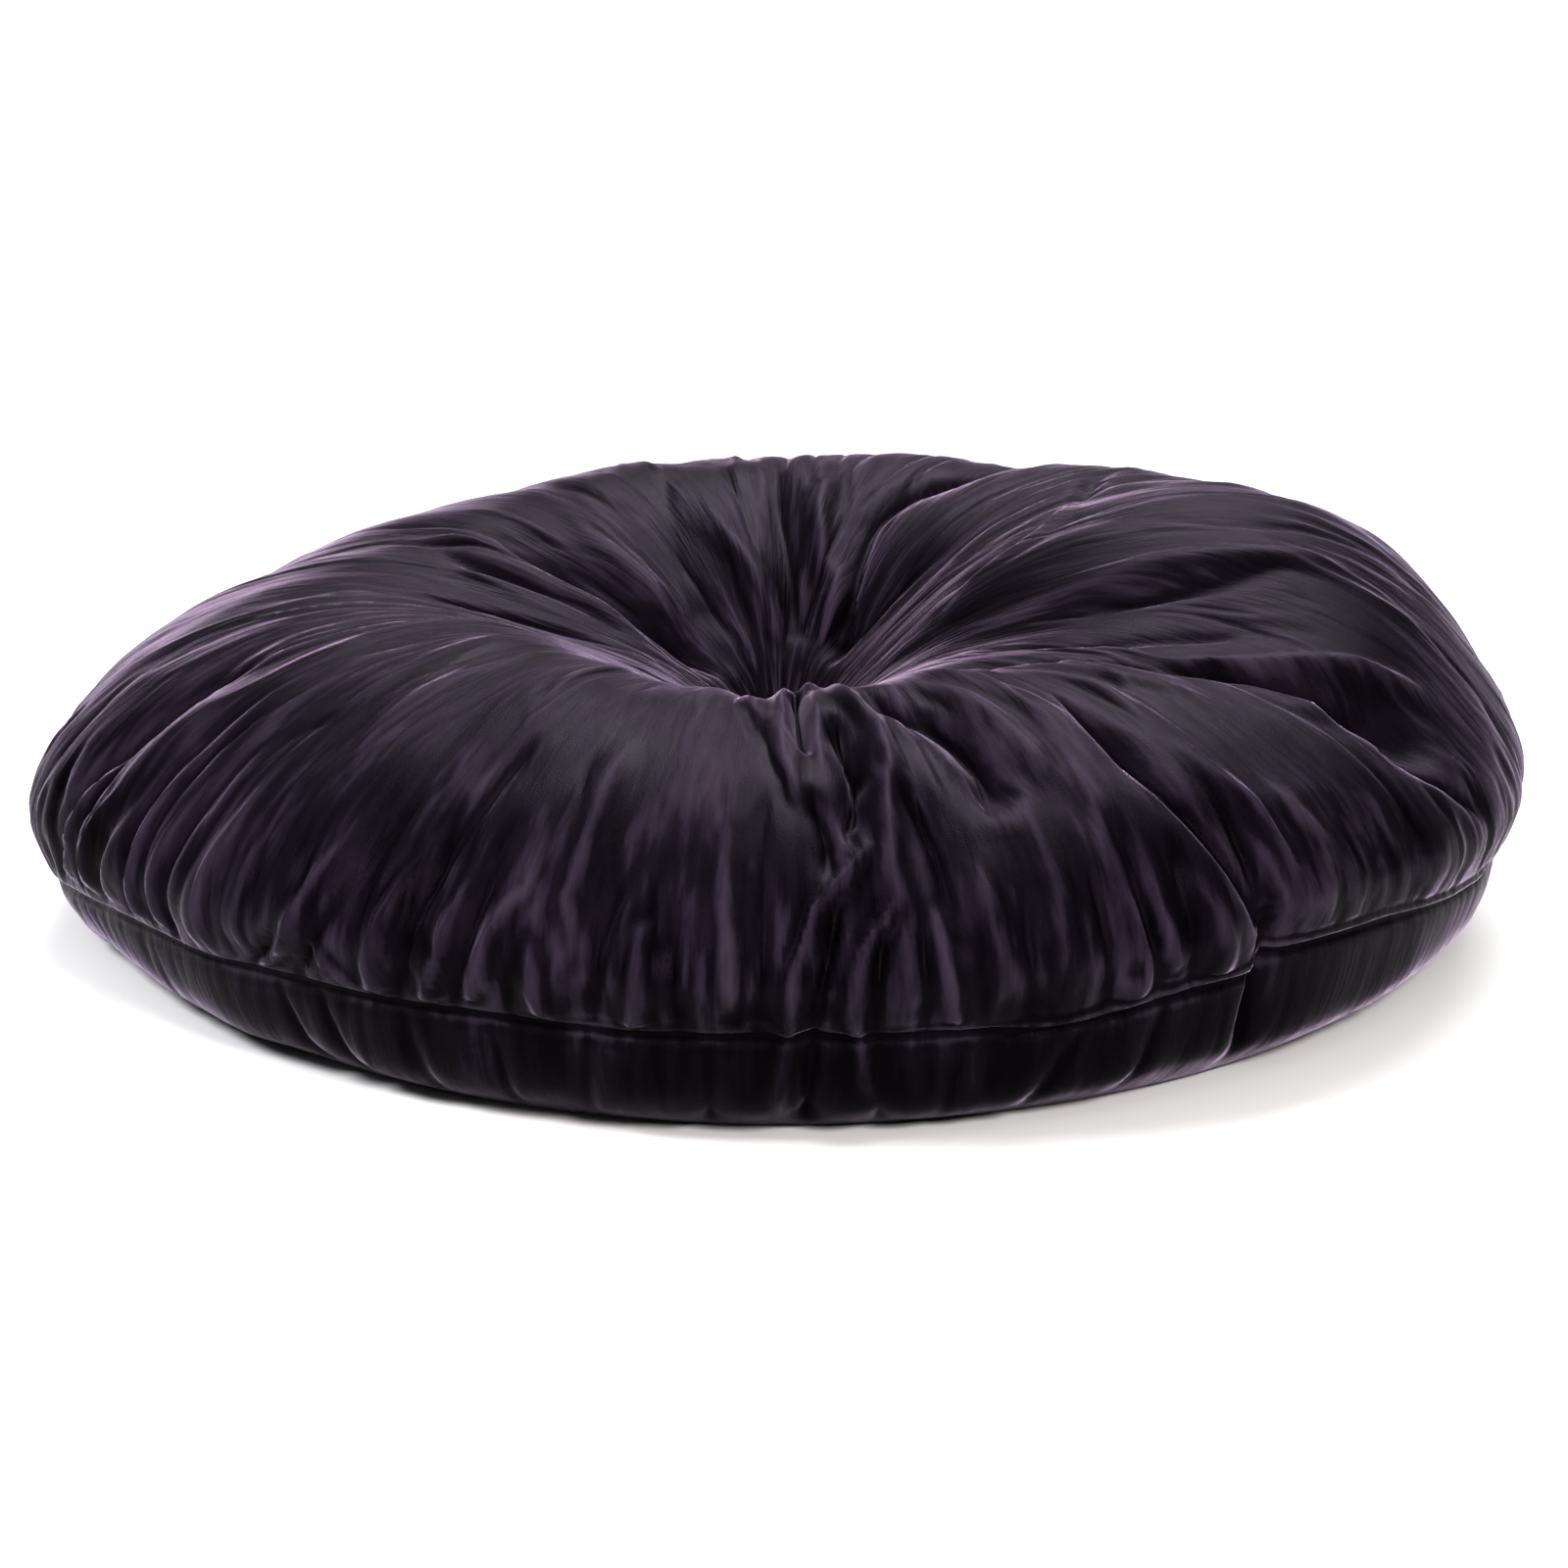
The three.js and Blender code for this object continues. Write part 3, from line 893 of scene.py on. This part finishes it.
def add_mesh(name, points, faces, material):
    """A new smooth-shaded object of one material."""
    mesh = bpy.data.meshes.new(name)
    mesh.from_pydata([tuple(p) for p in points], [], faces)
    mesh.validate()
    mesh.update()
    mesh.polygons.foreach_set("use_smooth", [True] * len(mesh.polygons))
    obj = bpy.data.objects.new(name, mesh)
    bpy.context.scene.collection.objects.link(obj)
    obj.data.materials.append(material)
    return obj


def crests(mesh):
    """How sharply each vertex stands out of the surface round it: 1 on a ridge, -1 in a crease. The velvet
    paints highlight and shade from it.
    """
    count = len(mesh.vertices)
    points, normals = np.empty(count * 3), np.empty(count * 3)
    mesh.vertices.foreach_get("co", points)
    mesh.vertices.foreach_get("normal", normals)
    points, normals = points.reshape(-1, 3), normals.reshape(-1, 3)
    ends = np.empty(len(mesh.edges) * 2, int)
    mesh.edges.foreach_get("vertices", ends)
    ends = ends.reshape(-1, 2)
    both = np.vstack([ends, ends[:, ::-1]])
    apart = points[both[:, 0]] - points[both[:, 1]]
    bend = 2 * (normals[both[:, 0]] * apart).sum(1) / np.maximum((apart**2).sum(1), TINY)
    sides = np.bincount(both[:, 0], minlength=count)
    bend = np.bincount(both[:, 0], bend, minlength=count) / sides
    for _ in range(CREST_PASSES):
        around = np.bincount(both[:, 0], bend[both[:, 1]], minlength=count)
        bend = CREST_OWN * bend + (1 - CREST_OWN) * around / sides
    return np.tanh((bend - CREST_AT_REST) / CREST_SCALE)


def add_node(tree, kind, settings, inputs):
    """A new shader node, with its settings and the values of its inputs."""
    node = tree.nodes.new(kind)
    for name, value in settings.items():
        setattr(node, name, value)
    for name, value in inputs.items():
        node.inputs[name].default_value = value
    return node


def add_ramp(tree, factor, tones):
    """The colour that a row of tones has at a factor from another node."""
    ramp = tree.nodes.new("ShaderNodeValToRGB")
    elements = ramp.color_ramp.elements
    for position, _ in tones[1:-1]:
        elements.new(position)
    for element, (position, colour) in zip(elements, tones):
        element.position = position
        element.color = (*colour, 1)
    tree.links.new(factor, ramp.inputs["Fac"])
    return ramp.outputs["Color"]


def add_spread(tree, value, from_min, from_max, to_min, to_max):
    """A value from another node, spread from one range to another."""
    inputs = {"From Min": from_min, "From Max": from_max, "To Min": to_min, "To Max": to_max}
    spread = add_node(tree, "ShaderNodeMapRange", {}, inputs)
    tree.links.new(value, spread.inputs["Value"])
    return spread.outputs["Result"]


def grain_noise(tree, grain, scale, stretch, detail, roughness=0.5):
    """Noise laid out round the cushion and along the run, drawn out along the run by stretch."""
    squeeze = add_node(tree, "ShaderNodeVectorMath", {"operation": "MULTIPLY"}, {1: (1, 1, 1 / stretch)})
    tree.links.new(grain, squeeze.inputs[0])
    inputs = {"Scale": scale, "Detail": detail, "Roughness": roughness}
    texture = add_node(tree, "ShaderNodeTexNoise", {}, inputs)
    tree.links.new(squeeze.outputs["Vector"], texture.inputs["Vector"])
    return texture.outputs["Fac"]


def velvet_tone(tree, grain, tone):
    """The velvet's colour: its tone, with painted highlight on ridges, painted shade in creases, and
    painted shade below the seam.
    """
    links = tree.links
    # Painted highlight on ridges and painted shade in creases, from the crest attribute
    crest = add_node(tree, "ShaderNodeAttribute", {"attribute_name": "crest"}, {})
    painted_crest_light = add_node(tree, "ShaderNodeMath", {"operation": "MULTIPLY_ADD"}, {1: CREST_PAINTED_LIGHT})
    links.new(crest.outputs["Fac"], painted_crest_light.inputs[0])
    links.new(tone, painted_crest_light.inputs[2])
    # Painted shade: the lower panel is made darker below the seam
    split = add_node(tree, "ShaderNodeSeparateXYZ", {}, {})
    links.new(grain, split.inputs["Vector"])
    start, full = ((SEAM_RUN + run) * MM for run in LOWER_FROM)
    lower = add_spread(tree, split.outputs["Z"], start, full, 0, LOWER_PAINTED_SHADE)
    shaded = add_node(tree, "ShaderNodeMath", {"operation": "SUBTRACT"}, {})
    links.new(painted_crest_light.outputs[0], shaded.inputs[0])
    links.new(lower, shaded.inputs[1])
    return add_ramp(tree, shaded.outputs[0], VELVET_TONES)


def add_bumps(tree, shader, layers):
    """Bumps on top of each other, from rows of height, distance and strength."""
    normal = None
    for height, distance, strength in layers:
        bump = add_node(tree, "ShaderNodeBump", {}, {"Distance": distance, "Strength": strength})
        tree.links.new(height, bump.inputs["Height"])
        if normal is not None:
            tree.links.new(normal, bump.inputs["Normal"])
        normal = bump.outputs["Normal"]
    tree.links.new(normal, shader.inputs["Normal"])


def velvet_material():
    """Dark aubergine cut-pile velvet: a soft sheen, streaks along the gathers and a fine pile."""
    material = bpy.data.materials.new("velvet_pile")
    material.use_nodes = True
    tree = material.node_tree
    shader = tree.nodes["Principled BSDF"]
    shader.inputs["Specular IOR Level"].default_value = 0.035
    shader.inputs["Specular Tint"].default_value = (*SPECULAR_TINT, 1)
    shader.inputs["Sheen Weight"].default_value = 1.0
    shader.inputs["Sheen Roughness"].default_value = 0.19
    shader.inputs["Sheen Tint"].default_value = (*SHEEN_TINT, 1)

    grain = add_node(tree, "ShaderNodeAttribute", {"attribute_name": "grain"}, {}).outputs["Vector"]
    nap = grain_noise(tree, grain, scale=26, stretch=2.5, detail=3)
    streaks = grain_noise(tree, grain, scale=150, stretch=6, detail=3, roughness=0.55)
    place = tree.nodes.new("ShaderNodeTexCoord")
    pile = add_node(tree, "ShaderNodeTexNoise", {}, {"Scale": 1400, "Detail": 2})
    tree.links.new(place.outputs["Object"], pile.inputs["Vector"])

    tone = add_node(tree, "ShaderNodeMix", {"data_type": "FLOAT"}, {"Factor": STREAK_SHARE})
    tree.links.new(nap, tone.inputs[2])
    tree.links.new(streaks, tone.inputs[3])
    tree.links.new(velvet_tone(tree, grain, tone.outputs[0]), shader.inputs["Base Color"])
    tree.links.new(add_spread(tree, tone.outputs[0], *ROUGHNESS), shader.inputs["Roughness"])
    layers = ((nap, 0.004, 0.35), (streaks, 0.0012, 0.45), (pile.outputs["Fac"], 0.0005, 0.4))
    add_bumps(tree, shader, layers)
    return material


def floor_material():
    """Matt pale floor with the faintest mottling."""
    material = bpy.data.materials.new("floor")
    material.use_nodes = True
    tree = material.node_tree
    shader = tree.nodes["Principled BSDF"]
    shader.inputs["Roughness"].default_value = 0.85
    shader.inputs["Specular IOR Level"].default_value = 0.2
    place = tree.nodes.new("ShaderNodeTexCoord")
    mottle = add_node(tree, "ShaderNodeTexNoise", {}, {"Scale": 3})
    tree.links.new(place.outputs["Object"], mottle.inputs["Vector"])
    tree.links.new(add_ramp(tree, mottle.outputs["Fac"], FLOOR_TONES), shader.inputs["Base Color"])
    return material


def build_cushion():
    """The cushion, with its place in the cloth and its ridges as attributes that the velvet reads, the
    ridges for painted highlight and shade.
    """
    points, faces, grain = cushion_mesh()
    obj = add_mesh("cushion_velvet", points, faces, velvet_material())
    weave = obj.data.attributes.new("grain", "FLOAT_VECTOR", "POINT")
    weave.data.foreach_set("vector", (grain * (REACH * MM, REACH * MM, MM)).ravel())
    crest = obj.data.attributes.new("crest", "FLOAT", "POINT")
    crest.data.foreach_set("value", crests(obj.data))
    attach(obj, "root")
    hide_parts("cushion")


def build_floor():
    """The pale floor, just below the cushion."""
    half = FLOOR_HALF
    corners = [(-half, -half, 0), (half, -half, 0), (half, half, 0), (-half, half, 0)]
    floor = add_mesh("floor", corners, [(0, 1, 2, 3)], floor_material())
    floor.location.z = -FLOOR_DROP


def aim(obj, target):
    """Turn a camera or light that is already in its place towards a target."""
    obj.rotation_mode = "QUATERNION"
    obj.rotation_quaternion = (Vector(target) - obj.location).to_track_quat("-Z", "Y")


def build_camera():
    """Fifteen degrees above the horizon, three cushion widths away."""
    data = bpy.data.cameras.new("camera")
    data.lens = LENS
    data.sensor_width = SENSOR
    data.clip_end = FARTHEST
    camera = bpy.data.objects.new("camera", data)
    bpy.context.scene.collection.objects.link(camera)
    elevation = math.radians(ELEVATION)
    x, y, z = PIVOT
    camera.location = (x, y - DISTANCE * math.cos(elevation), z + DISTANCE * math.sin(elevation))
    aim(camera, AIM)
    bpy.context.scene.camera = camera


def add_light(name, kind, location, strength, size, colour):
    """One row of LIGHTS, aimed at the cushion."""
    data = bpy.data.lights.new(name, kind)
    data.energy = strength
    data.color = colour
    if kind == "SUN":
        data.angle = size
    else:
        data.shape = "DISK"
        data.size = size
    light = bpy.data.objects.new(name, data)
    light.location = location
    bpy.context.scene.collection.objects.link(light)
    aim(light, LIT_POINT)


def build_light():
    """A backdrop that is brighter above than below, and the lights."""
    world = bpy.data.worlds.new("studio")
    bpy.context.scene.world = world
    world.use_nodes = True
    tree = world.node_tree
    place = tree.nodes.new("ShaderNodeTexCoord")
    split = tree.nodes.new("ShaderNodeSeparateXYZ")
    tree.links.new(place.outputs["Generated"], split.inputs["Vector"])
    backdrop = tree.nodes["Background"]
    tree.links.new(add_ramp(tree, split.outputs["Z"], SKY_TONES), backdrop.inputs["Color"])
    backdrop.inputs["Strength"].default_value = 0.78
    for row in LIGHTS:
        add_light(*row)


build_camera()
build_floor()
build_light()
build_cushion()

bpy.context.scene.view_settings.view_transform = "Standard"
bpy.context.scene.view_settings.look = "Medium High Contrast"
